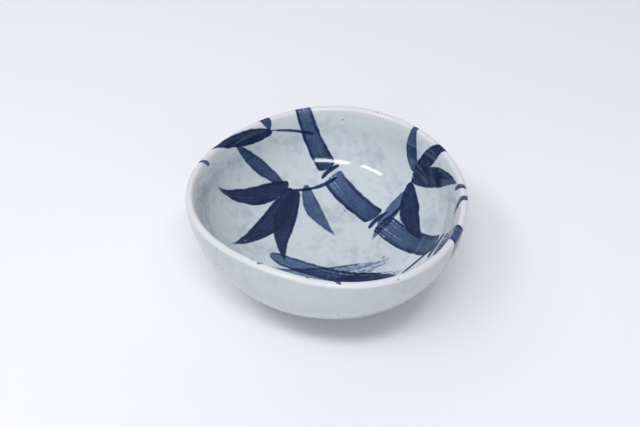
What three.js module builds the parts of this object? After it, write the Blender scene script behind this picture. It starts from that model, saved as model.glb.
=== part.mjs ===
// Painted bowl: a small hand-shaped serving bowl of white porcelain under a clear, faintly blue-green glaze.
// Millimetres, +Z up. The bowl stands on z = 0 with the middle of its foot on the origin, and its widest
// way along X. All sizes are of the finished bowl, over the glaze, except where they name clay.
import * as THREE from "three";

// The form
const BOWL_HEIGHT = 54; // mean height of the lip above the table
const LIP_RADIUS = 70.7; // mean radius over the lip
const LIP_THICKNESS = 4.4; // the lip is a full round of this thickness
const LIP_FLARE = 2; // the wall thins by this much from within towards the lip
const FLARE_DEPTH = 11; // height over which it thins
const WALL_AT_FOOT = 7; // thickness of wall and floor where the wall leaves the floor
const FLOOR_RADIUS = 24; // the wall starts to climb here
const FLOOR_DIP = 0.6; // how far the middle of the floor lies below its edge
const FOOT_HEIGHT = 6.5; // underside of the wall above the table, where it starts to climb
const OUTWARD_FULLNESS = 2.05; // superellipse power of the wall in plan, 2 is an ellipse
const UPWARD_FULLNESS = 2.43; // superellipse power of the wall in height

// The foot
const FOOT_RADIUS = 33; // outer wall of the foot where it meets the belly
const FOOT_WIDTH = 3.4; // clay of the ring at the table, bevels and all
const FOOT_TAPER = 0.9; // each side of the ring narrows by this much towards the table
const FOOT_COVE = 2.6; // radius between the foot and the belly
const FOOT_EASE = 0.6; // bevels of the standing edge
const COLLAR_REACH = 1.6; // the clay of the foot is smeared this far past its cove
const TURNED_POINT_RADIUS = 7; // small cone left in the middle of the recess
const TURNED_POINT_HEIGHT = 0.8;

// The glaze, and the hairline that parts the pieces
const GLAZE_THICKNESS = 0.4;
const FOOT_GLAZE_THICKNESS = 0.4;
const FOOT_GLAZE_POOL = 1.4; // radius of the glaze in the corner of the recess
const GLAZE_LINE = 1.6; // the glaze is wiped off below this height
const HAIRLINE = 0.1;

// Shaping by hand: the lip leaves the circle and the level by slow waves, each with the reach of its wave
// and the direction of one crest, in degrees from +X towards +Y
const OVAL_REACH = 2.1;
const OVAL_TURN = -28;
const THREE_SIDED_REACH = 1.6;
const THREE_SIDED_TURN = -57;
const FOUR_SIDED_REACH = 1.0;
const FOUR_SIDED_TURN = 13;
const LIP_LEAN_REACH = 0.5;
const LIP_LEAN_TURN = -50;
const LIP_SADDLE_REACH = 0.9;
const LIP_SADDLE_TURN = 78;
const LIP_RIPPLE_REACH = 0.9;
const LIP_RIPPLE_TURN = 53;

// Facets
const SECTORS = 60;
const FLOOR_STEPS = 2;
const WALL_STEPS = 9;
const FLARE_STEPS = 4;
const OUTSIDE_STEPS = 11;
const LIP_STEPS = 5;
const COVE_STEPS = 3;
const POINT_STEPS = 3;
const POOL_STEPS = 3;

const QUARTER = Math.PI / 2;
const SMALL_STEP = 1e-4;

const lipRound = LIP_THICKNESS / 2;
const wallTop = BOWL_HEIGHT - lipRound;
const flareAngle = Math.atan((2 * LIP_FLARE) / FLARE_DEPTH);
const wallUnderLip = lipRound * (1 + Math.cos(flareAngle)) + LIP_FLARE;
const clayDepth = GLAZE_THICKNESS + HAIRLINE;

const point = (r, z) => new THREE.Vector2(r, z);

// A stretch of profile along a path, as points with the normal that points out of the clay. Every stretch
// runs from the middle of the floor over the lip to the foot, so the air is always on its left.
function stretch(path, from, to, steps) {
  const samples = [];
  for (let i = 0; i <= steps; i++) {
    const at = from + ((to - from) * i) / steps;
    const low = Math.max(Math.min(from, to), at - SMALL_STEP);
    const high = Math.min(Math.max(from, to), at + SMALL_STEP);
    const along = path(high).sub(path(low)).normalize();
    if (to < from) along.negate();
    samples.push({ at: path(at), out: point(-along.y, along.x) });
  }
  return samples;
}

const sunk = (samples, depth) => samples.map((s) => s.at.clone().addScaledVector(s.out, -depth));

// The value between low and high where a rising function passes zero
function solve(rising, low, high) {
  for (let i = 0; i < 60; i++) {
    const middle = (low + high) / 2;
    if (rising(middle) < 0) low = middle;
    else high = middle;
  }
  return (low + high) / 2;
}

// The outside of the wall climbs from 0 at the floor's edge to a quarter turn at the lip
function outside(turn) {
  const reach = Math.pow(Math.sin(turn), 2 / OUTWARD_FULLNESS);
  const climb = 1 - Math.pow(Math.cos(turn), 2 / UPWARD_FULLNESS);
  return point(
    FLOOR_RADIUS + (LIP_RADIUS - FLOOR_RADIUS) * reach,
    FOOT_HEIGHT + (wallTop - FOOT_HEIGHT) * climb,
  );
}

// The way from the outside of the wall to its inside
function inward(turn) {
  const low = Math.max(0, turn - SMALL_STEP);
  const high = Math.min(QUARTER, turn + SMALL_STEP);
  const up = outside(high).sub(outside(low)).normalize();
  return point(-up.y, up.x);
}

// The wall thins a little on its way up, and more in the flare below the lip
function inside(turn) {
  const outer = outside(turn);
  const thin = THREE.MathUtils.smoothstep(turn, 0, QUARTER);
  const wall = WALL_AT_FOOT + (wallUnderLip - WALL_AT_FOOT) * thin;
  const flare = Math.max(0, 1 - (wallTop - outer.y) / FLARE_DEPTH) ** 2;
  const lift = lipRound * Math.sin(flareAngle) * flare;
  return outer.addScaledVector(inward(turn), wall - LIP_FLARE * flare).add(point(0, lift));
}

const flareTurn = solve((turn) => outside(turn).y - wallTop + FLARE_DEPTH, 0, QUARTER);

function floorPath(share) {
  const dip = FLOOR_DIP * (1 - share * share) ** 2;
  return point(FLOOR_RADIUS * share, FOOT_HEIGHT + WALL_AT_FOOT - dip);
}

function lipPath(turn) {
  const middle = point(LIP_RADIUS - lipRound, wallTop);
  return middle.add(point(-Math.cos(turn), Math.sin(turn)).multiplyScalar(lipRound));
}

// The foot's outer wall, from the table up
const footBottom = point(FOOT_RADIUS - FOOT_TAPER, 0);
const footWay = point(FOOT_TAPER, FOOT_HEIGHT).normalize();
const footOut = point(footWay.y, -footWay.x);

// The cove touches the belly and the foot's outer wall
const coveMiddleAt = (turn) => outside(turn).addScaledVector(inward(turn), -FOOT_COVE);
const coveTurn = solve(
  (turn) => coveMiddleAt(turn).sub(footBottom).dot(footOut) - FOOT_COVE,
  0,
  QUARTER,
);
const coveMiddle = coveMiddleAt(coveTurn);
const coveFrom = inward(coveTurn).angle();
const coveTo = footOut.clone().negate().angle();

function covePath(angle) {
  return coveMiddle.clone().add(point(Math.cos(angle), Math.sin(angle)).multiplyScalar(FOOT_COVE));
}

const footWallPath = (height) => footBottom.clone().addScaledVector(footWay, height / footWay.y);

// The seat of the foot is the level where its clay runs out on the belly
const clayOutside = (turn) => outside(turn).addScaledVector(inward(turn), clayDepth);
const collarRadius = outside(coveTurn).x + COLLAR_REACH;
const seatTurn = solve((turn) => clayOutside(turn).x - collarRadius, coveTurn, QUARTER);
const seatHeight = clayOutside(seatTurn).y;

const floorFace = stretch(floorPath, 0, 1, FLOOR_STEPS);
const insideFace = stretch(inside, 0, flareTurn, WALL_STEPS);
const flareFace = stretch(inside, flareTurn, QUARTER, FLARE_STEPS);
const lipFace = stretch(lipPath, flareAngle, Math.PI, LIP_STEPS);
const outsideFace = stretch(outside, QUARTER, seatTurn, OUTSIDE_STEPS);
const collarFace = stretch(outside, seatTurn, coveTurn, 1);
const coveFace = stretch(covePath, coveFrom, coveTo, COVE_STEPS);
const footFace = stretch(footWallPath, covePath(coveTo).y, GLAZE_LINE, 1);

// Stretches that follow each other share their end points
const joined = (...faces) => faces.flatMap((face, i) => (i ? face.slice(1) : face));

const upperFace = joined(floorFace, insideFace, flareFace, lipFace, outsideFace);
const lowerFace = joined(collarFace, coveFace, footFace);

// The underside of the body inside the foot, from the middle outwards, with the turned point
function ceiling(drop) {
  const points = [];
  for (let i = 0; i <= POINT_STEPS; i++) {
    const share = i / POINT_STEPS;
    const rise = TURNED_POINT_HEIGHT * (1 - share) ** 2;
    points.push(point(TURNED_POINT_RADIUS * share, seatHeight - rise - drop));
  }
  return points;
}

// The foot's inner wall, with the ring's width measured at the table
const footClayRadius = footBottom.x - clayDepth * footOut.x;
const footInnerRadius = footClayRadius - FOOT_WIDTH;
const footInnerAt = (height, gap) =>
  point(footInnerRadius - (FOOT_TAPER * height) / seatHeight - gap, height);

// The lip's plan and height at a direction, before it is centred over the foot
const wave = (count, reach, turn, angle) =>
  reach * Math.cos(count * (angle - THREE.MathUtils.degToRad(turn)));

const planWave = (angle) =>
  wave(2, OVAL_REACH, OVAL_TURN, angle) +
  wave(3, THREE_SIDED_REACH, THREE_SIDED_TURN, angle) +
  wave(4, FOUR_SIDED_REACH, FOUR_SIDED_TURN, angle);

const heightWave = (angle) =>
  wave(1, LIP_LEAN_REACH, LIP_LEAN_TURN, angle) +
  wave(2, LIP_SADDLE_REACH, LIP_SADDLE_TURN, angle) +
  wave(3, LIP_RIPPLE_REACH, LIP_RIPPLE_TURN, angle);

// The middle of the lip's own outline, which the foot is centred under
function outlineMiddle() {
  const box = new THREE.Box2();
  for (let i = 0; i < SECTORS; i++) {
    const angle = (2 * Math.PI * i) / SECTORS;
    const radius = LIP_RADIUS + planWave(angle);
    box.expandByPoint(point(radius * Math.cos(angle), radius * Math.sin(angle)));
  }
  return box.getCenter(point(0, 0));
}

const lipMiddle = outlineMiddle();

// Hand shaping grows from nothing at the foot to its full reach at the lip, and fades to the middle
function shapeByHand(geometry) {
  const position = geometry.getAttribute("position");
  const place = new THREE.Vector3();
  for (let i = 0; i < position.count; i++) {
    place.fromBufferAttribute(position, i);
    const radius = Math.hypot(place.x, place.y);
    const angle = Math.atan2(place.y, place.x);
    const fade = THREE.MathUtils.smoothstep(radius, 0, FLOOR_RADIUS);
    const climb = THREE.MathUtils.clamp((place.z - seatHeight) / (wallTop - seatHeight), 0, 1);
    const grown = radius + planWave(angle) * climb * fade;
    place.x = grown * Math.cos(angle) - lipMiddle.x * climb * fade;
    place.y = grown * Math.sin(angle) - lipMiddle.y * climb * fade;
    place.z += heightWave(angle) * climb * climb * fade;
    position.setXYZ(i, place.x, place.y, place.z);
  }
}

// Hand shaping twists the lathe's four-sided faces. Each is split along its shorter diagonal, which is the
// same one on two nested surfaces, so they keep their distance.
function splitAlongShorter(geometry) {
  const position = geometry.getAttribute("position");
  const corner = (i) => new THREE.Vector3().fromBufferAttribute(position, i);
  const index = [];
  for (let i = 0; i < geometry.index.count; i += 6) {
    const [a, b, d, c] = [0, 1, 2, 3].map((k) => geometry.index.getX(i + k));
    const across = corner(a).distanceTo(corner(c));
    const other = corner(b).distanceTo(corner(d));
    if (across < other) index.push(a, b, c, a, c, d);
    else index.push(a, b, d, b, c, d);
  }
  geometry.setIndex(index);
}

// A lathe wants its profile with the air on the right, so it is turned from the far end
function turnedPiece(name, profile, material) {
  const geometry = new THREE.LatheGeometry([...profile].reverse(), SECTORS);
  geometry.rotateX(QUARTER);
  shapeByHand(geometry);
  splitAlongShorter(geometry);
  geometry.computeVertexNormals();
  const mesh = new THREE.Mesh(geometry, material);
  mesh.name = name;
  return mesh;
}

const bareClay = new THREE.MeshStandardMaterial({ color: 0xd9d2c7, roughness: 0.75, metalness: 0 });
const paleGlaze = new THREE.MeshStandardMaterial({ color: 0xc9d3d8, roughness: 0.12, metalness: 0 });

// The thrown and hand-shaped wall and floor, down to the seat of the foot
function clayBody() {
  const profile = [...sunk(upperFace, clayDepth), ...ceiling(0).reverse()];
  return turnedPiece("clay_body", profile, bareClay);
}

// The foot ring, a coil luted to the underside and turned, with its clay smeared out on the belly
function footRing() {
  const top = seatHeight - HAIRLINE;
  const outer = sunk(lowerFace, clayDepth).slice(1, -1);
  const rim = clayOutside(solve((turn) => clayOutside(turn).y - top, coveTurn, QUARTER));
  const edge = footWallPath(FOOT_EASE).addScaledVector(footOut, -clayDepth);
  const profile = [
    rim,
    ...outer,
    edge,
    point(footClayRadius - FOOT_EASE, 0),
    point(footInnerRadius + FOOT_EASE, 0),
    footInnerAt(FOOT_EASE, 0),
    footInnerAt(top, 0),
    rim.clone(),
  ];
  return turnedPiece("foot_ring", profile, bareClay);
}

// One coat of glaze: over the inside, the lip, the outside and the outer wall of the foot
function glazeCoat() {
  const face = joined(upperFace, lowerFace);
  const profile = [...sunk(face, 0), ...sunk(face, GLAZE_THICKNESS).reverse()];
  return turnedPiece("glaze_coat", profile, paleGlaze);
}

// The glaze in the recess of the foot: over the underside and down the inner wall of the ring
function footGlaze() {
  const hidden = ceiling(HAIRLINE);
  const shown = ceiling(HAIRLINE + FOOT_GLAZE_THICKNESS);
  const hiddenTop = seatHeight - HAIRLINE;
  const shownTop = hiddenTop - FOOT_GLAZE_THICKNESS;
  const reach = HAIRLINE + FOOT_GLAZE_THICKNESS;
  const poolMiddle = footInnerAt(shownTop - FOOT_GLAZE_POOL, reach + FOOT_GLAZE_POOL);
  const pool = [];
  for (let i = POOL_STEPS; i >= 0; i--) {
    const angle = (QUARTER * i) / POOL_STEPS;
    pool.push(point(Math.sin(angle), Math.cos(angle)).multiplyScalar(FOOT_GLAZE_POOL).add(poolMiddle));
  }
  const profile = [
    ...hidden,
    footInnerAt(hiddenTop, HAIRLINE),
    footInnerAt(GLAZE_LINE, HAIRLINE),
    footInnerAt(GLAZE_LINE, reach),
    ...pool,
    ...shown.reverse(),
  ];
  return turnedPiece("foot_glaze", profile, paleGlaze);
}

const bowl = new THREE.Group();
bowl.add(clayBody(), footRing(), glazeCoat(), footGlaze());

export default bowl;
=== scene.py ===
"""A hand-shaped porcelain bowl with cobalt brushwork under a clear, pale glaze."""

import math

import bmesh
import bpy
from bpy.props import FloatProperty, FloatVectorProperty, IntProperty, PointerProperty
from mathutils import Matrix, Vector, noise


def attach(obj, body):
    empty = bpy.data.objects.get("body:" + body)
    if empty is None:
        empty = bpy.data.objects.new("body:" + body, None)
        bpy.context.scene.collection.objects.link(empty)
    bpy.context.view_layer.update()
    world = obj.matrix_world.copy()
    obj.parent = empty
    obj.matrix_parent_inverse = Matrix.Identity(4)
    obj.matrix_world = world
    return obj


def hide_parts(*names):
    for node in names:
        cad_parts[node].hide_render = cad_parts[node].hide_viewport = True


bl_info = {
    "name": "Painted Porcelain Bowl",
    "version": (1, 0, 0),
    "blender": (4, 5, 0),
    "location": "View3D > Sidebar > Bowl",
    "description": "Turns, glazes and paints a small porcelain bowl",
    "category": "Object",
}

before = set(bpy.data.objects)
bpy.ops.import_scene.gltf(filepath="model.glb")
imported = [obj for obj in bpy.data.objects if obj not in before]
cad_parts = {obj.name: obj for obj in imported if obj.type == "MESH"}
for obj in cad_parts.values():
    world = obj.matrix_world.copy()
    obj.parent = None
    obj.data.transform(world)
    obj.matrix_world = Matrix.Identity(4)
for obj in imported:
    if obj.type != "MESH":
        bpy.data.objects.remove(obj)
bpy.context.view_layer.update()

MM = 0.001
QUARTER = math.pi / 2
SMALL_TURN = 1e-4
HALVINGS = 60

# Steps along the section: floor, wall, flare and lip, then collar, cove and foot wall. Faces that
# show are fine. Faces that lie on each other are coarse, and clay and glaze share their steps.
FINE_UPPER = (16, 50, 14, 20)
FINE_LOWER = (4, 10, 5)
COARSE_UPPER = (4, 20, 6, 8)
COARSE_LOWER = (2, 5, 2)
CEILING_STEPS = 6
ROUND_STEPS = 6
POOL_STEPS = 8

# Depth and gap of the finer turning rings by those of the coarser, and depth inside by that outside
FINE_RING_DEPTH = 0.4
FINE_RING_GAP = 0.43
INNER_RING_DEPTH = 0.2

# The brush plan is the bowl's surface laid flat: distance along the surface from the middle of the
# floor, in every direction. It fills a square UV map whose side is twice this reach.
PLAN_REACH = 160 * MM
PLAN_LAYER = "brush_plan"
REACH_LAYER = "reach"

# The glaze's depth on its scale of 0 at the lip, what a pool adds to it, its waviness, the dulling
# of the lip, and its iron specks with the share of their cells that stays bare
EVEN_DEPTH = 0.62
POOL_DEPTH = 0.3
GLAZE_WAVE = 0.012 * MM
SATIN_LIP = 0.13
SPECK_TINT = (0.10, 0.09, 0.09)
SPECK_STRENGTH = 0.55
BARE_CELLS = 0.86

# The grain of bare clay
GRAIN_DEPTH = 0.05 * MM
GRAIN_TINT = (0.36, 0.30, 0.24)

# How a pull breaks up into the brush's hairs, which run dry, where it gathers to its edges, the most
# cobalt that lies anywhere, and how far apart the hairs of two pulls are drawn
HAIRS_PER_MM = 1.0
HAIR_DRIFT = 0.6
HAIR_TOOTH = 0.7
HAIR_DRYNESS = 0.62
HAIR_FLOOR = 0.02
HAIR_CONTRAST = 4.5
HAIR_LOAD = 0.4
EVEN_LOAD = 0.8
POOL_FROM = 0.6
MOST_LAID = 1.4
HAIRS_APART = 31.7

LAMP_DISTANCE = 1.2
SENSOR_WIDTH = 36

# Name, azimuth and elevation in degrees, sides in metres, share of its kind's power, and whether
# it shows in gloss. A lamp either lights the bowl or shows in its gloss, so the two are set apart.
LAMPS = [
    ("front_soft", -95, 69, (0.55, 0.23), 1.0, False),
    ("front_left_soft", -150, 58, (0.4, 0.25), 0.59, False),
    ("left_soft", 175, 50, (0.5, 0.4), 0.33, False),
    ("right_soft", -20, 69, (0.4, 0.2), 0.22, False),
    ("front_strip", -98, 50, (0.6, 0.14), 1.0, True),
    ("left_strip", -145, 45, (0.36, 0.14), 0.45, True),
]


def length(name, description, millimetres):
    """A size that a user can change, given in millimetres and kept in metres"""
    return FloatProperty(
        name=name,
        description=description,
        default=millimetres * MM,
        unit="LENGTH",
        precision=5,
    )


def turn_of(name, description, degrees):
    """A direction round the bowl that a user can change, given in degrees"""
    return FloatProperty(
        name=name,
        description=description,
        default=math.radians(degrees),
        subtype="ANGLE",
    )


def colour(name, description, red, green, blue):
    """A colour that a user can change, in linear parts"""
    return FloatVectorProperty(
        name=name,
        description=description,
        default=(red, green, blue),
        subtype="COLOR",
        size=3,
        min=0,
        max=1,
    )


class BowlForm(bpy.types.PropertyGroup):
    """Sizes of the finished bowl, over the glaze"""

    height: length("Height", "Mean height of the lip above the table", 54)
    lip_radius: length("Lip radius", "Mean radius over the lip", 70.7)
    lip_thickness: length("Lip thickness", "The lip is a full round", 4.4)
    lip_flare: length("Lip flare", "How much the wall thins from within towards the lip", 2)
    flare_depth: length("Flare depth", "Height over which it thins", 11)
    wall_at_foot: length("Wall at foot", "Thickness where the wall leaves the floor", 7)
    floor_radius: length("Floor radius", "The wall starts to climb here", 24)
    floor_dip: length("Floor dip", "How far the middle of the floor lies lower", 0.6)
    foot_height: length("Foot height", "Underside of the wall above the table", 6.5)
    outward_fullness: FloatProperty(
        name="Outward fullness",
        description="Superellipse power of the wall in plan",
        default=2.05,
    )
    upward_fullness: FloatProperty(
        name="Upward fullness",
        description="Superellipse power of the wall in height",
        default=2.43,
    )
    foot_radius: length("Foot radius", "Outer wall of the foot at the belly", 33)
    foot_width: length("Foot width", "Clay of the ring at the table", 3.4)
    foot_taper: length("Foot taper", "Narrowing of each side of the ring", 0.9)
    foot_cove: length("Foot cove", "Radius between foot and belly", 2.6)
    foot_ease: length("Foot ease", "Rounding of the standing edge", 0.6)
    collar_reach: length("Collar reach", "Foot clay smeared past the cove", 1.6)
    point_radius: length("Point radius", "Turned cone in the recess", 7)
    point_height: length("Point height", "Turned cone in the recess", 0.8)
    glaze_thickness: length("Glaze thickness", "Both coats of glaze", 0.4)
    glaze_pool: length("Glaze pool", "Glaze in the corner of the recess", 1.4)
    glaze_line: length("Glaze line", "The glaze is wiped off below this", 1.6)
    hairline: length("Hairline", "Parts the pieces from each other", 0.1)
    sectors: IntProperty(name="Sectors", description="Facets round the bowl", default=240, min=24)


class BowlHand(bpy.types.PropertyGroup):
    """How far the hand leaves the circle, the level and the smooth surface"""

    oval: length("Oval", "Reach of the oval wave of the lip", 2.1)
    oval_turn: turn_of("Oval turn", "Direction of a crest", -28)
    three_sided: length("Three-sided", "Reach of the three-sided wave", 1.6)
    three_sided_turn: turn_of("Three-sided turn", "Direction of a crest", -57)
    four_sided: length("Four-sided", "Reach of the four-sided wave", 1.0)
    four_sided_turn: turn_of("Four-sided turn", "Direction of a crest", 13)
    lean: length("Lean", "Reach of the lip's lean", 0.5)
    lean_turn: turn_of("Lean turn", "Direction of the high side", -50)
    saddle: length("Saddle", "Reach of the lip's saddle", 0.9)
    saddle_turn: turn_of("Saddle turn", "Direction of a crest", 78)
    ripple: length("Ripple", "Reach of the lip's ripple", 0.9)
    ripple_turn: turn_of("Ripple turn", "Direction of a crest", 53)
    ring_depth: length("Ring depth", "Depth of the turning rings on the outer wall", 0.05)
    ring_gap: length("Ring gap", "Distance between turning rings", 4.2)
    shoulder_ease: length("Shoulder ease", "How far the lip's inner shoulder is wiped down", 0.2)
    shoulder_width: length("Shoulder width", "Reach of the wiping on each side", 1.6)
    unevenness: length("Unevenness", "Soft unevenness of wall and lip", 0.16)
    unevenness_size: length("Unevenness size", "Size of the soft unevenness", 22)
    seed: IntProperty(name="Seed", description="Draw of the soft unevenness", default=80, min=1)


class BowlFinish(bpy.types.PropertyGroup):
    """Colours of clay, glaze and cobalt"""

    clay: colour("Bare clay", "Fired porcelain where it is bare", 0.74, 0.68, 0.60)
    thin_glaze: colour("Thin glaze", "Glaze where it runs thin on the lip", 0.67, 0.678, 0.722)
    # The outside glaze colour is darker and greener than the inside one: painted shade on the outer
    # wall and a painted reflection of the table, over one and the same glaze.
    glaze: colour("Glaze", "Glaze over the outside", 0.53, 0.558, 0.555)
    thick_glaze: colour("Thick glaze", "Glaze where it pools", 0.47, 0.513, 0.508)
    # The inside glaze colour and its pool colour are lighter and bluer than the outside: painted
    # reflection of light from the cobalt and the room, over the glaze's own colour.
    inner_glaze_painted_reflection: colour("Tinted glaze", "Glaze inside, which takes up some cobalt", 0.61, 0.66, 0.70)
    inner_pool_painted_reflection: colour("Tinted pool", "The same where it pools", 0.47, 0.522, 0.60)
    cobalt: colour("Cobalt", "What a full stroke lets through", 0.036, 0.069, 0.172)
    cobalt_load: FloatProperty(
        name="Cobalt load",
        description="Strength of the whole brushwork",
        default=1.0,
        min=0,
        max=2,
    )


class BowlStage(bpy.types.PropertyGroup):
    """Camera, floor and light"""

    lens: FloatProperty(name="Lens", description="Focal length", default=60, unit="CAMERA")
    view_height: turn_of("View height", "Camera above the horizon", 43.1)
    distance: length("Distance", "Camera to the point it looks at", 559)
    aim_x: length("Aim X", "Point that the camera looks at", -3.4)
    aim_z: length("Aim Z", "Point that the camera looks at", 36.1)
    floor: colour("Floor", "Pale table", 0.895, 0.885, 0.955)
    floor_radius: length("Floor radius", "Reach of the table", 4000)
    windows: colour("Windows", "The room's light in front of the bowl and behind it", 0.97, 0.99, 0.985)
    walls: colour("Walls", "The room's light at its sides", 0.02, 0.02, 0.02)
    mirrored_room: colour("Mirrored room", "The room as gloss shows it", 0.29, 0.29, 0.30)
    room_power: FloatProperty(name="Room", description="Strength of the room's light", default=1.1)
    lamp: colour("Lamp", "Tint of the lamps", 0.95, 0.975, 1.0)
    soft_power: FloatProperty(name="Soft lamps", description="Power", default=4.6, unit="POWER")
    strip_power: FloatProperty(name="Strip lamps", description="Power", default=5.0, unit="POWER")


def point(radius, height):
    return Vector((radius, height))


def left_of(way):
    return point(-way.y, way.x)


def smooth_step(value, low, high):
    share = min(max((value - low) / (high - low), 0), 1)
    return share * share * (3 - 2 * share)


def solve(rising, low, high):
    """The value between low and high where a rising function passes zero"""
    for _ in range(HALVINGS):
        middle = (low + high) / 2
        if rising(middle) < 0:
            low = middle
        else:
            high = middle
    return (low + high) / 2


def stretch(path, start, end, steps):
    """Points of a path, each with the normal that points into the air. Every path runs from the
    middle of the floor over the lip to the foot, so the air is on its left."""
    samples = []
    for step in range(steps + 1):
        at = start + (end - start) * step / steps
        low = max(min(start, end), at - SMALL_TURN)
        high = min(max(start, end), at + SMALL_TURN)
        way = (path(high) - path(low)).normalized()
        if end < start:
            way.negate()
        samples.append((path(at), left_of(way)))
    return samples


def joined(*faces):
    """Stretches that follow each other share their end points"""
    samples = list(faces[0])
    for face in faces[1:]:
        samples += face[1:]
    return samples


def sunk(samples, depth):
    return [at - out * depth for at, out in samples]


def arc(middle, radius, start, end, steps):
    points = []
    for step in range(steps + 1):
        angle = start + (end - start) * step / steps
        points.append(middle + point(math.cos(angle), math.sin(angle)) * radius)
    return points


class Profile:
    """The bowl's section, as paths in radius and height"""

    def __init__(self, form):
        self.form = form
        self.lip_round = form.lip_thickness / 2
        self.wall_top = form.height - self.lip_round
        self.flare_angle = math.atan(2 * form.lip_flare / form.flare_depth)
        self.flare_turn = solve(
            lambda turn: self.outside(turn).y - self.wall_top + form.flare_depth,
            0,
            QUARTER,
        )
        lip_width = self.lip_round * (1 + math.cos(self.flare_angle))
        self.wall_under_lip = lip_width + form.lip_flare
        self.clay_depth = form.glaze_thickness + form.hairline
        self.foot_bottom = point(form.foot_radius - form.foot_taper, 0)
        self.foot_way = point(form.foot_taper, form.foot_height).normalized()
        self.foot_out = -left_of(self.foot_way)
        self.cove_turn = solve(self.cove_miss, 0, QUARTER)
        self.cove_middle = self.cove_middle_at(self.cove_turn)
        to_belly = self.inward(self.cove_turn)
        self.cove_start = math.atan2(to_belly.y, to_belly.x)
        self.cove_end = math.atan2(-self.foot_out.y, -self.foot_out.x)
        self.collar_radius = self.outside(self.cove_turn).x + form.collar_reach
        self.seat_turn = solve(
            lambda turn: self.clay_outside(turn).x - self.collar_radius,
            self.cove_turn,
            QUARTER,
        )
        self.seat_height = self.clay_outside(self.seat_turn).y
        self.foot_clay_radius = self.foot_bottom.x - self.clay_depth * self.foot_out.x
        self.foot_inner_radius = self.foot_clay_radius - form.foot_width

    def outside(self, turn):
        """From the floor's edge at 0 to the lip at a quarter turn"""
        form = self.form
        reach = math.sin(turn) ** (2 / form.outward_fullness)
        climb = 1 - max(math.cos(turn), 0) ** (2 / form.upward_fullness)
        return point(
            form.floor_radius + (form.lip_radius - form.floor_radius) * reach,
            form.foot_height + (self.wall_top - form.foot_height) * climb,
        )

    def inward(self, turn):
        low = max(0, turn - SMALL_TURN)
        high = min(QUARTER, turn + SMALL_TURN)
        return left_of((self.outside(high) - self.outside(low)).normalized())

    def inside(self, turn):
        """The wall thins a little on its way up, and more in the flare below the lip"""
        form = self.form
        outer = self.outside(turn)
        thin = smooth_step(turn, 0, QUARTER)
        wall = form.wall_at_foot + (self.wall_under_lip - form.wall_at_foot) * thin
        flare = max(0, 1 - (self.wall_top - outer.y) / form.flare_depth) ** 2
        lift = self.lip_round * math.sin(self.flare_angle) * flare
        inner = outer + self.inward(turn) * (wall - form.lip_flare * flare)
        return inner + point(0, lift)

    def floor(self, share):
        form = self.form
        dip = form.floor_dip * (1 - share * share) ** 2
        return point(form.floor_radius * share, form.foot_height + form.wall_at_foot - dip)

    def lip(self, turn):
        middle = point(self.form.lip_radius - self.lip_round, self.wall_top)
        return middle + point(-math.cos(turn), math.sin(turn)) * self.lip_round

    def cove_middle_at(self, turn):
        return self.outside(turn) - self.inward(turn) * self.form.foot_cove

    def cove_miss(self, turn):
        """How far the cove's circle is from touching the foot's outer wall"""
        away = self.cove_middle_at(turn) - self.foot_bottom
        return away.dot(self.foot_out) - self.form.foot_cove

    def cove(self, angle):
        return self.cove_middle + point(math.cos(angle), math.sin(angle)) * self.form.foot_cove

    def clay_outside(self, turn):
        return self.outside(turn) + self.inward(turn) * self.clay_depth

    def foot_wall(self, height):
        return self.foot_bottom + self.foot_way * (height / self.foot_way.y)

    def foot_inner(self, height, gap):
        taper = self.form.foot_taper * height / self.seat_height
        return point(self.foot_inner_radius - taper - gap, height)

    def ceiling(self, drop):
        """The underside of the body inside the foot, from the middle outwards"""
        form = self.form
        points = []
        for step in range(CEILING_STEPS + 1):
            share = step / CEILING_STEPS
            cone = form.point_height * (1 - share) ** 2
            points.append(point(form.point_radius * share, self.seat_height - cone - drop))
        return points

    def upper_face(self, floor_steps, wall_steps, flare_steps, lip_steps):
        return joined(
            stretch(self.floor, 0, 1, floor_steps),
            stretch(self.inside, 0, self.flare_turn, wall_steps),
            stretch(self.inside, self.flare_turn, QUARTER, flare_steps),
            stretch(self.lip, self.flare_angle, math.pi, lip_steps),
            stretch(self.outside, QUARTER, self.seat_turn, wall_steps),
        )

    def lower_face(self, collar_steps, cove_steps, foot_steps):
        foot_top = self.cove(self.cove_end).y
        return joined(
            stretch(self.outside, self.seat_turn, self.cove_turn, collar_steps),
            stretch(self.cove, self.cove_start, self.cove_end, cove_steps),
            stretch(self.foot_wall, foot_top, self.form.glaze_line, foot_steps),
        )

    def hidden_face(self):
        """The coarser samples that clay and glaze share where they lie on each other"""
        return joined(self.upper_face(*COARSE_UPPER), self.lower_face(*COARSE_LOWER))


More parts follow.
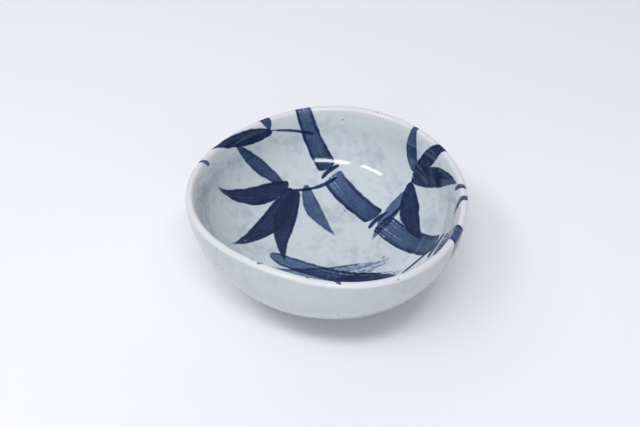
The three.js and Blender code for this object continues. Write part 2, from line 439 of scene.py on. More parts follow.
class Hand:
    """Moves a turned point to where the hand left it"""

    def __init__(self, profile, hand):
        self.profile = profile
        self.hand = hand
        noise.seed_set(hand.seed)
        radius = profile.form.lip_radius
        outline = []
        for step in range(profile.form.sectors):
            angle = 2 * math.pi * step / profile.form.sectors
            reach = radius + self.plan_wave(angle)
            outline.append((reach * math.cos(angle), reach * math.sin(angle)))
        self.middle_x = (max(x for x, _ in outline) + min(x for x, _ in outline)) / 2
        self.middle_y = (max(y for _, y in outline) + min(y for _, y in outline)) / 2

    def plan_wave(self, angle):
        hand = self.hand
        return (
            hand.oval * math.cos(2 * (angle - hand.oval_turn))
            + hand.three_sided * math.cos(3 * (angle - hand.three_sided_turn))
            + hand.four_sided * math.cos(4 * (angle - hand.four_sided_turn))
        )

    def height_wave(self, angle):
        hand = self.hand
        return (
            hand.lean * math.cos(angle - hand.lean_turn)
            + hand.saddle * math.cos(2 * (angle - hand.saddle_turn))
            + hand.ripple * math.cos(3 * (angle - hand.ripple_turn))
        )

    def shaped(self, place):
        profile = self.profile
        hand = self.hand
        radius = math.hypot(place.x, place.y)
        angle = math.atan2(place.y, place.x)
        fade = smooth_step(radius, 0, profile.form.floor_radius)
        climb = (place.z - profile.seat_height) / (profile.wall_top - profile.seat_height)
        climb = min(max(climb, 0), 1)
        uneven = noise.noise_vector(place / hand.unevenness_size) * hand.unevenness * fade * climb
        grown = radius + self.plan_wave(angle) * climb * fade
        return Vector((
            grown * math.cos(angle) - self.middle_x * climb * fade + uneven.x,
            grown * math.sin(angle) - self.middle_y * climb * fade + uneven.y,
            place.z + self.height_wave(angle) * climb * climb * fade + uneven.z,
        ))

    def lift(self, run, lip_reach):
        """How far turning rings and the wiped shoulder move the glaze, at a distance along it"""
        hand = self.hand
        outer_wall = smooth_step(run, lip_reach + 10 * MM, lip_reach + 28 * MM)
        inner_wall = smooth_step(run, 30 * MM, 45 * MM)
        inner_wall -= smooth_step(run, lip_reach - 18 * MM, lip_reach - 6 * MM)
        share = max(outer_wall, INNER_RING_DEPTH * inner_wall)
        ring = math.sin(2 * math.pi * run / hand.ring_gap)
        ring += FINE_RING_DEPTH * math.sin(2 * math.pi * run / (hand.ring_gap * FINE_RING_GAP))
        shoulder = lip_reach - self.profile.lip_round
        eased = math.exp(-(((run - shoulder) / hand.shoulder_width) ** 2))
        return ring * hand.ring_depth * share - eased * hand.shoulder_ease


def shaping(scene):
    """The form, its section and the hand that shapes it"""
    profile = Profile(scene.bowl_form)
    return scene.bowl_form, profile, Hand(profile, scene.bowl_hand)


def reaches(points):
    """Distance along a profile at each of its points"""
    totals = [0.0]
    for before, after in zip(points, points[1:]):
        totals.append(totals[-1] + (after - before).length)
    return totals


def placed(name, mesh):
    """An object made from a finished bmesh"""
    data = bpy.data.meshes.new(name)
    mesh.to_mesh(data)
    mesh.free()
    piece = bpy.data.objects.new(name, data)
    bpy.context.scene.collection.objects.link(piece)
    return piece


def turned(name, points, reach, hand, sectors):
    """A closed piece turned from a profile that starts and ends on the axis or closes on itself.
    reach gives each point's distance from the floor's middle for the brush plan."""
    mesh = bmesh.new()
    reach_layer = mesh.verts.layers.float.new(REACH_LAYER)
    ring = []
    for at, run in zip(points, reach):
        vertex = mesh.verts.new((max(at.x, 0), 0, at.y))
        vertex[reach_layer] = run
        ring.append(vertex)
    edges = [mesh.edges.new(pair) for pair in zip(ring, ring[1:])]
    if points[0].x > SMALL_TURN * MM:
        edges.append(mesh.edges.new((ring[-1], ring[0])))
    bmesh.ops.spin(
        mesh,
        geom=ring + edges,
        cent=(0, 0, 0),
        axis=(0, 0, 1),
        angle=2 * math.pi,
        steps=sectors,
        use_merge=True,
    )
    bmesh.ops.remove_doubles(mesh, verts=mesh.verts, dist=SMALL_TURN * MM)
    bmesh.ops.recalc_face_normals(mesh, faces=mesh.faces)
    plan = mesh.loops.layers.uv.new(PLAN_LAYER)
    for face in mesh.faces:
        face.smooth = True
        for loop in face.loops:
            run = loop.vert[reach_layer] / (2 * PLAN_REACH)
            angle = math.atan2(loop.vert.co.y, loop.vert.co.x)
            loop[plan].uv = (0.5 + run * math.cos(angle), 0.5 + run * math.sin(angle))
    for vertex in mesh.verts:
        vertex.co = hand.shaped(vertex.co)
    return placed(name, mesh)


def dress(piece, node, material):
    """Give a piece its material and its body, and hide the node that it stands for"""
    piece.data.materials.append(material)
    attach(piece, "root")
    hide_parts(node)


class Graph:
    """Adds nodes to a tree. A value may be a number, a colour or another node's output."""

    def __init__(self, tree):
        self.tree = tree
        self.count = 0

    def add(self, kind, inputs=None, **settings):
        node = self.tree.nodes.new(kind)
        node.location = (self.count // 8 * 180, self.count % 8 * -160)
        self.count += 1
        for key, value in settings.items():
            setattr(node, key, value)
        for key, value in (inputs or {}).items():
            self.feed(node.inputs[key], value)
        return node

    def feed(self, socket, value):
        if isinstance(value, bpy.types.NodeSocket):
            self.tree.links.new(value, socket)
        elif socket.type == "RGBA" and len(value) == 3:
            socket.default_value = (*value, 1)
        else:
            socket.default_value = value

    def math(self, operation, *values, clamp=False):
        node = self.add("ShaderNodeMath", dict(enumerate(values)), operation=operation)
        result = node.outputs[0]
        if clamp:
            result = self.add("ShaderNodeClamp", {"Value": result}).outputs["Result"]
        return result

    def vector(self, operation, *values):
        node = self.add("ShaderNodeVectorMath", dict(enumerate(values)), operation=operation)
        return node.outputs["Value" if operation in ("LENGTH", "DOT_PRODUCT") else "Vector"]

    def scaled(self, vector, factor):
        node = self.add("ShaderNodeVectorMath", {"Vector": vector, "Scale": factor}, operation="SCALE")
        return node.outputs["Vector"]

    def line_noise(self, place, detail, roughness):
        """Noise along one number"""
        node = self.add(
            "ShaderNodeTexNoise",
            {"W": place, "Scale": 1, "Detail": detail, "Roughness": roughness},
            noise_dimensions="1D",
        )
        return node.outputs["Fac"]

    def noise(self, vector, scale, detail=2, roughness=0.5):
        node = self.add(
            "ShaderNodeTexNoise",
            {"Vector": vector, "Scale": scale, "Detail": detail, "Roughness": roughness},
        )
        return node.outputs["Fac"]

    def spread(self, value, low, high):
        """0 at low and 1 at high, with soft ends"""
        node = self.add(
            "ShaderNodeMapRange",
            {"Value": value, "From Min": low, "From Max": high},
            interpolation_type="SMOOTHSTEP",
        )
        return node.outputs["Result"]

    def mixed(self, factor, first, second):
        node = self.add("ShaderNodeMix", data_type="RGBA")
        self.feed(node.inputs["Factor"], factor)
        self.feed(node.inputs[6], first)
        self.feed(node.inputs[7], second)
        return node.outputs[2]

    def bumped(self, height, distance):
        """The normal of a surface with bumps of the given height"""
        node = self.add("ShaderNodeBump", {"Height": height, "Strength": 1.0, "Distance": distance})
        return node.outputs["Normal"]


def new_group(name, inputs, outputs):
    """A shader node group with named sockets, and its graph, inputs and output node"""
    tree = bpy.data.node_groups.new(name, "ShaderNodeTree")
    for label, kind, default in inputs:
        socket = tree.interface.new_socket(label, in_out="INPUT", socket_type="NodeSocket" + kind)
        if default is not None:
            socket.default_value = default
    for label, kind in outputs:
        tree.interface.new_socket(label, in_out="OUTPUT", socket_type="NodeSocket" + kind)
    graph = Graph(tree)
    given = graph.add("NodeGroupInput").outputs
    result = graph.add("NodeGroupOutput").inputs
    return tree, graph, given, result


def stroke_group():
    """One pull of a loaded brush: a bowed band that swells, tapers, pools and runs dry"""
    tree, graph, given, result = new_group(
        "brush_stroke",
        [
            ("Laid Before", "Float", 0),
            ("Plan", "Vector", None),
            ("Ragged", "Float", 0),
            ("Tooth", "Float", 0),
            ("From", "Vector", None),
            ("To", "Vector", None),
            ("Bow", "Float", 0),
            ("Half Width", "Float", 4),
            ("Swell", "Float", 0.4),
            ("Taper", "Float", 0.6),
            ("Point", "Float", 1),
            ("Load", "Float", 1),
            ("Fade", "Float", 0),
            ("Pool", "Float", 0.3),
            ("Dry", "Float", 0),
            ("Dry From", "Float", 0.3),
            ("Softness", "Float", 0.35),
            ("Seed", "Float", 0),
        ],
        [("Laid", "Float")],
    )
    away = graph.vector("SUBTRACT", given["Plan"], given["From"])
    chord = graph.vector("SUBTRACT", given["To"], given["From"])
    reach = graph.vector("LENGTH", chord)
    way = graph.vector("NORMALIZE", chord)
    side = graph.vector("CROSS_PRODUCT", (0, 0, 1), way)
    along = graph.vector("DOT_PRODUCT", away, way)
    share_open = graph.math("DIVIDE", along, reach)
    share = graph.math("DIVIDE", along, reach, clamp=True)
    rest = graph.math("SUBTRACT", 1, share)
    bowed = graph.math("MULTIPLY", graph.math("MULTIPLY", share, rest), 4)
    middle = graph.math("MULTIPLY", bowed, given["Bow"])
    across = graph.math("SUBTRACT", graph.vector("DOT_PRODUCT", away, side), middle)
    past = graph.math("MULTIPLY", graph.math("SUBTRACT", share_open, share), reach)
    square = graph.math("MULTIPLY_ADD", across, across, graph.math("MULTIPLY", past, past))
    far = graph.math("SQRT", square)

    swell = graph.math("DIVIDE", share, given["Swell"], clamp=True)
    swell = graph.math("SQRT", graph.math("MULTIPLY", swell, graph.math("SUBTRACT", 2, swell)))
    taper = graph.math("DIVIDE", rest, given["Taper"], clamp=True)
    taper = graph.math("MULTIPLY", taper, graph.math("SUBTRACT", 2, taper))
    taper = graph.math("POWER", taper, given["Point"])
    half = graph.math("MULTIPLY", given["Half Width"], graph.math("MULTIPLY", swell, taper))
    ragged = graph.math("MULTIPLY", given["Ragged"], graph.math("MULTIPLY", half, 0.5, clamp=True))
    edge = graph.math("ADD", graph.math("SUBTRACT", half, far), ragged)
    mask = graph.math("ADD", graph.math("DIVIDE", edge, given["Softness"]), 0.5, clamp=True)
    mask = graph.math("MULTIPLY", mask, graph.math("DIVIDE", half, given["Softness"], clamp=True))

    hairs = graph.math("ADD", across, graph.math("MULTIPLY", given["Ragged"], HAIR_DRIFT))
    hairs = graph.math("MULTIPLY_ADD", hairs, HAIRS_PER_MM, given["Seed"])
    hair = graph.line_noise(hairs, detail=2, roughness=0.6)
    hair = graph.math("MULTIPLY_ADD", given["Tooth"], HAIR_TOOTH, hair)
    dry = graph.math("SUBTRACT", share, given["Dry From"], clamp=True)
    dry = graph.math("DIVIDE", dry, graph.math("SUBTRACT", 1, given["Dry From"]))
    dry = graph.math("MULTIPLY", dry, given["Dry"])
    keep = graph.math("MULTIPLY_ADD", dry, -HAIR_DRYNESS, graph.math("SUBTRACT", hair, HAIR_FLOOR))
    keep = graph.math("MULTIPLY", keep, HAIR_CONTRAST, clamp=True)

    outer = graph.math("DIVIDE", graph.math("ABSOLUTE", across), half, clamp=True)
    pool = graph.math("SUBTRACT", outer, POOL_FROM, clamp=True)
    pool = graph.math("MULTIPLY", pool, 1 / (1 - POOL_FROM))
    load = graph.math("MULTIPLY_ADD", pool, given["Pool"], 1)
    load = graph.math("SUBTRACT", load, graph.math("MULTIPLY", share, given["Fade"]))
    load = graph.math("MULTIPLY", load, graph.math("MULTIPLY_ADD", hair, HAIR_LOAD, EVEN_LOAD))
    load = graph.math("MULTIPLY", load, given["Load"])
    laid = graph.math("MULTIPLY", graph.math("MULTIPLY", mask, keep), load)
    graph.feed(result["Laid"], graph.math("ADD", given["Laid Before"], laid))
    return tree


def over_lip(angle, start, end, lean=0):
    """Ends of a stroke that crosses the lip at an angle in degrees, by its reach on the plan"""
    first = math.radians(angle)
    last = math.radians(angle + lean)
    return (
        (start * math.cos(first), start * math.sin(first)),
        (end * math.cos(last), end * math.sin(last)),
    )


# What each kind of pull is like. Lengths are in millimetres on the brush plan.
LEAF = {
    "Swell": 0.5,
    "Taper": 0.75,
    "Point": 1.35,
    "Load": 1.2,
    "Pool": 0.3,
    "Dry": 0.25,
    "Dry From": 0.6,
    "Softness": 0.9,
}
STALK = {
    "Swell": 0.05,
    "Taper": 0.05,
    "Point": 0.5,
    "Load": 0.95,
    "Fade": 0.4,
    "Pool": 0.7,
    "Dry": 0.4,
    "Dry From": 0.55,
    "Softness": 0.9,
}
JOINT = {"Swell": 0.3, "Taper": 0.4, "Point": 0.5, "Load": 1.2, "Pool": 0.2, "Softness": 0.7}
TWIG = {"Swell": 0.1, "Taper": 0.9, "Point": 0.45, "Load": 1.0, "Pool": 0.1, "Dry": 0.4}
DAB = {"Swell": 0.4, "Taper": 0.5, "Point": 0.6, "Load": 0.9, "Pool": 0.3, "Dry": 0.4}
WASH = {
    "Swell": 0.15,
    "Taper": 0.5,
    "Point": 0.7,
    "Load": 0.42,
    "Pool": 1.0,
    "Dry": 0.7,
    "Dry From": 0.15,
    "Softness": 1.0,
}

# Kind, start, end, half width and bow to the left of the pull, then what differs from the kind
STROKES = [
    (WASH, (-54, -20), (34, -12), 5.6, -8, {}),
    (WASH, (-30, -8), (40, -24), 4.2, -7, {"Load": 0.6}),
    (WASH, (-66, -16), (-26, -62), 4.6, -8, {"Load": 0.5}),
    (STALK, (92, -54), (62, -19), 7.2, 1, {}),
    (STALK, (59, -15), (30, 16), 6.8, 1.4, {}),
    (STALK, (27, 20), (3, 50), 6.2, 1, {}),
    (STALK, (1, 54), (-24, 98), 5.4, 0.8, {}),
    (JOINT, (54, -23), (67, -12), 1.2, 1.6, {}),
    (JOINT, (23, 12), (34.5, 23), 1.2, 1.5, {}),
    (JOINT, (-3, 48), (7.5, 56), 1.1, 1.3, {}),
    (TWIG, (6, 49), (-26, 40), 1.0, 3, {}),
    (TWIG, (31, 17), (52, 40), 1.0, -3, {}),
    (TWIG, (60, -15), (36, -30), 0.9, -2, {}),
    (TWIG, (-9, 74), (-42, 72), 0.9, -2, {}),
    (LEAF, (-22, 44), (-68, 24), 6.0, 4, {}),
    (LEAF, (-20, 41), (-52, -8), 6.8, 5, {}),
    (LEAF, (-17, 40), (-22, -14), 6.2, -4, {}),
    (LEAF, (-25, 43), (-72, 54), 4.4, -3, {"Load": 0.9}),
    (LEAF, (-12, 44), (6, 6), 4.6, -3, {"Load": 0.65}),
    (LEAF, (52, 40), (96, 40), 5.4, 3, {}),
    (LEAF, (51, 38), (88, 8), 6.4, 5, {}),
    (LEAF, (49, 37), (52, -6), 6.0, -4, {}),
    (LEAF, (53, 42), (70, 70), 4.6, 3, {"Load": 0.85}),
    (LEAF, (46, 33), (24, 2), 4.0, -2, {"Load": 0.6}),
    (LEAF, (38, -29), (0, -54), 5.4, 3, {}),
    (LEAF, (38, -30), (20, -78), 5.6, 4, {}),
    (LEAF, (36, -28), (-4, -30), 4.4, -3, {"Load": 0.8}),
    (LEAF, (-40, 72), (-84, 40), 5.0, -3, {}),
    (LEAF, (-42, 73), (-64, 82), 4.0, -3, {"Load": 0.9}),
    (DAB, *over_lip(-128, 84, 91, 2), 1.0, 0, {"Load": 0.6}),
    (DAB, *over_lip(-119, 86, 92, -4), 1.3, 0, {}),
    (DAB, *over_lip(-104, 85, 91, 5), 1.1, 0, {"Load": 0.7}),
    (DAB, *over_lip(-95, 84, 92, 9), 2.2, 1, {}),
    (DAB, *over_lip(-8, 80, 95, 4), 2.6, 0, {"Load": 0.8}),
    (DAB, *over_lip(5, 85, 94, -4), 1.8, 0, {}),
    (DAB, *over_lip(160, 86, 93, 3), 1.6, 0, {"Load": 0.6}),
]


def brushwork(graph):
    """The whole painting on the brush plan, as the amount of cobalt laid"""
    unwrapped = graph.add("ShaderNodeUVMap", uv_map=PLAN_LAYER).outputs["UV"]
    centred = graph.vector("SUBTRACT", unwrapped, (0.5, 0.5, 0))
    plan = graph.scaled(centred, 2 * PLAN_REACH / MM)
    broad = graph.math("SUBTRACT", graph.noise(plan, 0.16, detail=1), 0.5)
    fine = graph.math("SUBTRACT", graph.noise(plan, 1.2), 0.5)
    ragged = graph.math("MULTIPLY_ADD", broad, 1.6, graph.math("MULTIPLY", fine, 0.5))
    tooth = graph.math("SUBTRACT", graph.noise(plan, 0.5, detail=3, roughness=0.6), 0.5)
    group = stroke_group()
    laid = 0
    for count, (kind, start, end, half, bow, more) in enumerate(STROKES):
        values = {
            "Plan": plan,
            "Ragged": ragged,
            "Tooth": tooth,
            "From": (*start, 0),
            "To": (*end, 0),
            "Half Width": half,
            "Bow": bow,
            "Seed": count * HAIRS_APART,
            **kind,
            **more,
            "Laid Before": laid,
        }
        laid = graph.add("ShaderNodeGroup", values, node_tree=group).outputs["Laid"]
    tone = graph.math("MULTIPLY_ADD", graph.noise(plan, 0.12, detail=3), 0.6, 0.7)
    laid = graph.math("MULTIPLY", graph.math("MINIMUM", laid, MOST_LAID), tone)
    return graph.math("ADD", laid, spatter(graph, plan))


def spatter(graph, plan):
    """Drops flicked off the brush, in a few drifts"""
    cells = graph.add("ShaderNodeTexVoronoi", {"Vector": plan, "Scale": 0.3})
    chance = graph.add("ShaderNodeSeparateColor", {"Color": cells.outputs["Color"]}).outputs
    drift = graph.spread(graph.noise(plan, 0.035, detail=1), 0.5, 0.62)
    picked = graph.math("LESS_THAN", chance["Red"], graph.math("MULTIPLY", drift, 0.45))
    size = graph.math("MULTIPLY_ADD", chance["Green"], 0.16, 0.05)
    drop = graph.math("SUBTRACT", size, cells.outputs["Distance"])
    drop = graph.math("MULTIPLY", drop, 12, clamp=True)
    strength = graph.math("MULTIPLY_ADD", chance["Blue"], 0.7, 0.15)
    return graph.math("MULTIPLY", graph.math("MULTIPLY", drop, picked), strength)


def cobalt_group():
    """Cobalt under glaze: each colour is dimmed by the stain to the power of what is laid"""
    tree, graph, given, result = new_group(
        "cobalt_under_glaze",
        [
            ("Glaze", "Color", (0.6, 0.6, 0.6, 1)),
            ("Stain", "Color", (0.05, 0.07, 0.15, 1)),
            ("Laid", "Float", 0),
        ],
        [("Color", "Color")],
    )
    glaze = graph.add("ShaderNodeSeparateColor", {"Color": given["Glaze"]}).outputs
    stain = graph.add("ShaderNodeSeparateColor", {"Color": given["Stain"]}).outputs
    parts = {}
    for channel in ("Red", "Green", "Blue"):
        through = graph.math("POWER", stain[channel], given["Laid"])
        parts[channel] = graph.math("MULTIPLY", glaze[channel], through)
    combined = graph.add("ShaderNodeCombineColor", parts)
    graph.feed(result["Color"], combined.outputs["Color"])
    return tree


def glaze_group():
    """Glaze colour by its thickness, with mottling, specks and a soft waviness"""
    tree, graph, given, result = new_group(
        "glaze_depth",
        [
            ("Thin", "Color", (0.7, 0.7, 0.7, 1)),
            ("Even", "Color", (0.6, 0.6, 0.6, 1)),
            ("Thick", "Color", (0.5, 0.5, 0.5, 1)),
            ("Depth", "Float", 0.5),
        ],
        [("Color", "Color"), ("Height", "Float"), ("Roughness", "Float")],
    )
    place = graph.add("ShaderNodeTexCoord").outputs["Object"]
    mottle = graph.math("SUBTRACT", graph.noise(place, 60, detail=3), 0.5)
    cloud = graph.math("SUBTRACT", graph.noise(place, 240), 0.5)
    depth = graph.math("MULTIPLY_ADD", mottle, 1.7, given["Depth"])
    depth = graph.math("ADD", cloud, depth)
    thin = graph.mixed(graph.spread(given["Depth"], 0.0, 0.6), given["Thin"], given["Even"])
    tint = graph.mixed(graph.spread(depth, 0.45, 1.15), thin, given["Thick"])
    cells = graph.add("ShaderNodeTexVoronoi", {"Vector": place, "Scale": 130})
    chance = graph.add("ShaderNodeSeparateColor", {"Color": cells.outputs["Color"]}).outputs
    size = graph.math("MULTIPLY_ADD", chance["Green"], 0.03, 0.012)
    speck = graph.math("SUBTRACT", 1, graph.math("DIVIDE", cells.outputs["Distance"], size), clamp=True)
    speck = graph.math("MULTIPLY", speck, graph.math("GREATER_THAN", chance["Red"], BARE_CELLS))
    tint = graph.mixed(graph.math("MULTIPLY", speck, SPECK_STRENGTH), tint, SPECK_TINT)
    graph.feed(result["Color"], tint)
    skin = graph.math("MULTIPLY", graph.noise(place, 320, detail=1), 0.3)
    swells = graph.math("MULTIPLY_ADD", graph.noise(place, 90, detail=1), 0.8, skin)
    graph.feed(result["Height"], graph.math("SUBTRACT", swells, speck))
    satin = graph.spread(given["Depth"], 0.45, 0.0)
    gloss = graph.math("MULTIPLY_ADD", cloud, 0.06, 0.08)
    graph.feed(result["Roughness"], graph.math("MULTIPLY_ADD", satin, SATIN_LIP, gloss))
    return tree


def new_material(name):
    """A material with a bare shader, its graph and the shader's inputs"""
    material = bpy.data.materials.new(name)
    material.use_nodes = True
    material.node_tree.nodes.clear()
    graph = Graph(material.node_tree)
    shader = graph.add("ShaderNodeBsdfPrincipled")
    output = graph.add("ShaderNodeOutputMaterial")
    graph.feed(output.inputs["Surface"], shader.outputs["BSDF"])
    return material, graph, shader.inputs


def glaze_material(name, finish, lip_reach=None, cove_reach=None):
    """Clear glaze. The painted coat says how far along the section its lip and its cove are."""
    painted = lip_reach is not None
    material, graph, shader = new_material(name)
    depth = EVEN_DEPTH
    even = finish.glaze
    thick = finish.thick_glaze
    if painted:
        reach = graph.add("ShaderNodeAttribute", attribute_name=REACH_LAYER).outputs["Fac"]
        within = graph.spread(reach, lip_reach + 0.5 * MM, lip_reach - 8 * MM)
        without = graph.spread(reach, lip_reach + 1.6 * MM, lip_reach + 4 * MM)
        away = graph.math("MULTIPLY", graph.math("ADD", within, without), EVEN_DEPTH)
        pooled = graph.spread(reach, cove_reach - 6 * MM, cove_reach)
        depth = graph.math("MULTIPLY_ADD", pooled, POOL_DEPTH, away)
        # Inside and outside take two colours of the same glaze: the inside is lighter and bluer as
        # painted reflected light, the outside darker and greener as painted shade.
        even = graph.mixed(within, finish.glaze, finish.inner_glaze_painted_reflection)
        thick = graph.mixed(within, finish.thick_glaze, finish.inner_pool_painted_reflection)
    glaze = graph.add(
        "ShaderNodeGroup",
        {"Thin": finish.thin_glaze, "Even": even, "Thick": thick, "Depth": depth},
        node_tree=bpy.data.node_groups.get("glaze_depth") or glaze_group(),
    ).outputs
    tint = glaze["Color"]
    if painted:
        laid = graph.math("MULTIPLY", brushwork(graph), finish.cobalt_load)
        tint = graph.add(
            "ShaderNodeGroup",
            {"Glaze": tint, "Stain": finish.cobalt, "Laid": laid},
            node_tree=cobalt_group(),
        ).outputs["Color"]
    graph.feed(shader["Base Color"], tint)
    graph.feed(shader["Roughness"], glaze["Roughness"])
    shader["IOR"].default_value = 1.5
    graph.feed(shader["Normal"], graph.bumped(glaze["Height"], GLAZE_WAVE))
    return material


def clay_material(finish):
    """Bare fired porcelain, with fine grain and faint stains"""
    material, graph, shader = new_material("bare_clay")
    place = graph.add("ShaderNodeTexCoord").outputs["Object"]
    grain = graph.noise(place, 1400, detail=3, roughness=0.7)
    patch = graph.noise(place, 90, detail=3)
    stained = tuple(part * 0.86 for part in finish.clay)
    tint = graph.mixed(graph.spread(patch, 0.35, 0.7), finish.clay, stained)
    tint = graph.mixed(graph.math("MULTIPLY", grain, 0.16), tint, GRAIN_TINT)
    graph.feed(shader["Base Color"], tint)
    graph.feed(shader["Roughness"], graph.math("MULTIPLY_ADD", grain, 0.2, 0.6))
    graph.feed(shader["Normal"], graph.bumped(grain, GRAIN_DEPTH))
    return material


class BOWL_OT_body(bpy.types.Operator):
    """Throw and shape the clay wall and floor"""

    bl_idname = "bowl.body"
    bl_label = "Clay Body"

    def execute(self, context):
        form, profile, hand = shaping(context.scene)
        points = sunk(profile.upper_face(*COARSE_UPPER), profile.clay_depth)
        points += reversed(profile.ceiling(0))
        piece = turned("thrown_body", points, reaches(points), hand, form.sectors)
        dress(piece, "clay_body", clay_material(context.scene.bowl_finish))
        return {"FINISHED"}


class BOWL_OT_foot(bpy.types.Operator):
    """Turn the foot ring and round its standing edge"""

    bl_idname = "bowl.foot"
    bl_label = "Foot Ring"

    def execute(self, context):
        form, profile, hand = shaping(context.scene)
        top = profile.seat_height - form.hairline
        rim_turn = solve(
            lambda turn: profile.clay_outside(turn).y - top,
            profile.cove_turn,
            QUARTER,
        )
        outer = sunk(profile.lower_face(*COARSE_LOWER), profile.clay_depth)[1:-1]
        ease = form.foot_ease
        outer_middle = point(profile.foot_clay_radius - ease, ease)
        inner_middle = point(profile.foot_inner_radius + ease, ease)
        points = [profile.clay_outside(rim_turn), *outer]
        points += arc(outer_middle, ease, 0, -QUARTER, ROUND_STEPS)
        points.append(points[-1].lerp(point(inner_middle.x, 0), 0.5))
        points += arc(inner_middle, ease, -QUARTER, -math.pi, ROUND_STEPS)
        points.append(profile.foot_inner(top * 0.5, 0))
        points.append(profile.foot_inner(top, 0))
        piece = turned("turned_foot", points, reaches(points), hand, form.sectors)
        material = bpy.data.materials.get("bare_clay") or clay_material(context.scene.bowl_finish)
        dress(piece, "foot_ring", material)
        return {"FINISHED"}


class BOWL_OT_glaze(bpy.types.Operator):
    """Glaze and paint the bowl inside, over the lip and down to the foot"""

    bl_idname = "bowl.glaze"
    bl_label = "Painted Glaze Coat"

    def execute(self, context):
        form, profile, hand = shaping(context.scene)
        upper = profile.upper_face(*FINE_UPPER)
        face = joined(upper, profile.lower_face(*FINE_LOWER))
        reach = reaches([at for at, _ in face])
        lip_reach = max(zip(upper, reach), key=lambda pair: pair[0][0].y)[1]
        collar_steps, cove_steps, _ = FINE_LOWER
        cove_reach = reach[len(upper) - 1 + collar_steps + cove_steps // 2]
        shown = [at + out * hand.lift(run, lip_reach) for (at, out), run in zip(face, reach)]
        hidden = sunk(profile.hidden_face(), form.glaze_thickness)
        bead = form.glaze_thickness / 2
        bead_middle = shown[-1].lerp(hidden[-1], 0.5)
        first = math.atan2(profile.foot_out.y, profile.foot_out.x)
        rounded = arc(bead_middle, bead, first, first - math.pi, ROUND_STEPS)[1:-1]
        points = shown + rounded + hidden[::-1]
        reach += [reach[-1]] * (len(points) - len(reach))
        piece = turned("painted_glaze_coat", points, reach, hand, form.sectors)
        finish = context.scene.bowl_finish
        material = glaze_material("painted_glaze", finish, lip_reach, cove_reach)
        dress(piece, "glaze_coat", material)
        return {"FINISHED"}


class BOWL_OT_foot_glaze(bpy.types.Operator):
    """Glaze the recess of the foot"""

    bl_idname = "bowl.foot_glaze"
    bl_label = "Foot Glaze"

    def execute(self, context):
        form, profile, hand = shaping(context.scene)
        drop = form.hairline + form.glaze_thickness
        pool = form.glaze_pool
        pool_middle = profile.foot_inner(profile.seat_height - drop - pool, drop + pool)
        bead = form.glaze_thickness / 2
        bead_middle = profile.foot_inner(form.glaze_line, form.hairline + bead)
        points = profile.ceiling(form.hairline)
        points.append(profile.foot_inner(profile.seat_height - form.hairline, form.hairline))
        points += arc(bead_middle, bead, 0, -math.pi, ROUND_STEPS)
        points += arc(pool_middle, pool, 0, QUARTER, POOL_STEPS)
        points += reversed(profile.ceiling(drop))
        piece = turned("recess_glaze", points, reaches(points), hand, form.sectors)
        material = glaze_material("clear_glaze", context.scene.bowl_finish)
        dress(piece, "foot_glaze", material)
        return {"FINISHED"}


def add_lamp(name, azimuth, elevation, sides, power, tint, mirrored):
    """A long lamp that faces the bowl from the given direction"""
    azimuth = math.radians(azimuth)
    elevation = math.radians(elevation)
    away = Vector((math.cos(azimuth), math.sin(azimuth), 0)) * math.cos(elevation)
    away.z = math.sin(elevation)
    data = bpy.data.lights.new(name, "AREA")
    data.shape = "RECTANGLE"
    data.size, data.size_y = sides
    data.energy = power
    data.color = tint
    lamp = bpy.data.objects.new(name, data)
    lamp.location = away * LAMP_DISTANCE
    lamp.rotation_euler = away.to_track_quat("Z", "Y").to_euler()
    lamp.visible_camera = False
    lamp.visible_glossy = mirrored
    lamp.visible_diffuse = not mirrored
    bpy.context.scene.collection.objects.link(lamp)


def pale_room(stage):
    """A world that is light in front of the bowl and behind it, and dimmer in the glaze's gloss"""
    world = bpy.data.worlds.new("pale_room")
    world.use_nodes = True
    world.node_tree.nodes.clear()
    graph = Graph(world.node_tree)
    way = graph.add("ShaderNodeTexCoord").outputs["Generated"]
    facing = graph.math("ABSOLUTE", graph.vector("DOT_PRODUCT", way, (0, 1, 0)))
    tint = graph.mixed(graph.spread(facing, 0, 1), stage.walls, stage.windows)
    mirrored = graph.add("ShaderNodeLightPath").outputs["Is Glossy Ray"]
    tint = graph.mixed(mirrored, tint, stage.mirrored_room)
    light = graph.add("ShaderNodeBackground", {"Color": tint, "Strength": stage.room_power})
    output = graph.add("ShaderNodeOutputWorld")
    graph.feed(output.inputs["Surface"], light.outputs["Background"])
    return world


def floor_material(tint):
    """A smooth pale board with a faint cloudiness"""
    material, graph, shader = new_material("pale_table")
    place = graph.add("ShaderNodeTexCoord").outputs["Object"]
    cloud = graph.noise(place, 3)
    darker = tuple(part * 0.985 for part in tint)
    graph.feed(shader["Base Color"], graph.mixed(cloud, tint, darker))
    shader["Roughness"].default_value = 0.55
    shader["Specular IOR Level"].default_value = 0.25
    return material


def add_floor(stage):
    mesh = bmesh.new()
    bmesh.ops.create_circle(mesh, cap_ends=True, segments=96, radius=stage.floor_radius)
    floor = placed("table", mesh)
    floor.data.materials.append(floor_material(stage.floor))


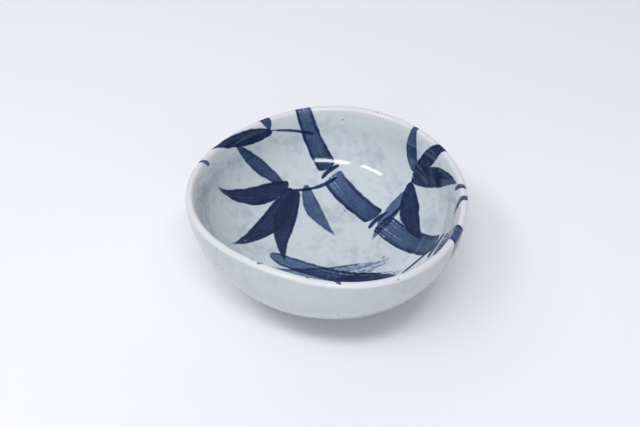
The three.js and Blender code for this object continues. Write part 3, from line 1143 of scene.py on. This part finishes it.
def add_camera(stage):
    """The camera stands in front of the bowl and looks down on it"""
    aim = Vector((stage.aim_x, 0, stage.aim_z))
    up = stage.view_height
    data = bpy.data.cameras.new("photo_view")
    data.lens = stage.lens
    data.sensor_width = SENSOR_WIDTH
    camera = bpy.data.objects.new("photo_view", data)
    camera.location = aim + Vector((0, -math.cos(up), math.sin(up))) * stage.distance
    camera.rotation_euler = (QUARTER - up, 0, 0)
    bpy.context.scene.collection.objects.link(camera)
    return camera


class BOWL_OT_stage(bpy.types.Operator):
    """Set the table, the light and the camera"""

    bl_idname = "bowl.stage"
    bl_label = "Stage"

    def execute(self, context):
        stage = context.scene.bowl_stage
        add_floor(stage)
        context.scene.camera = add_camera(stage)
        for name, azimuth, elevation, sides, share, mirrored in LAMPS:
            power = share * (stage.strip_power if mirrored else stage.soft_power)
            add_lamp(name, azimuth, elevation, sides, power, stage.lamp, mirrored)
        context.scene.world = pale_room(stage)
        context.scene.view_settings.view_transform = "Standard"
        return {"FINISHED"}


class BOWL_PT_panel(bpy.types.Panel):
    """Buttons for the bowl's pieces"""

    bl_label = "Painted Bowl"
    bl_idname = "BOWL_PT_panel"
    bl_space_type = "VIEW_3D"
    bl_region_type = "UI"
    bl_category = "Bowl"

    def draw(self, context):
        for operator in OPERATORS:
            self.layout.operator(operator.bl_idname)


GROUPS = {
    "bowl_form": BowlForm,
    "bowl_hand": BowlHand,
    "bowl_finish": BowlFinish,
    "bowl_stage": BowlStage,
}
OPERATORS = [BOWL_OT_body, BOWL_OT_foot, BOWL_OT_glaze, BOWL_OT_foot_glaze, BOWL_OT_stage]


def register():
    for cls in (*GROUPS.values(), *OPERATORS, BOWL_PT_panel):
        bpy.utils.register_class(cls)
    for name, group in GROUPS.items():
        setattr(bpy.types.Scene, name, PointerProperty(type=group))


def unregister():
    for name in GROUPS:
        delattr(bpy.types.Scene, name)
    for cls in (BOWL_PT_panel, *OPERATORS, *reversed(GROUPS.values())):
        bpy.utils.unregister_class(cls)


def main():
    register()
    bpy.ops.bowl.body()
    bpy.ops.bowl.foot()
    bpy.ops.bowl.glaze()
    bpy.ops.bowl.foot_glaze()
    bpy.ops.bowl.stage()


if __name__ == "__main__":
    main()
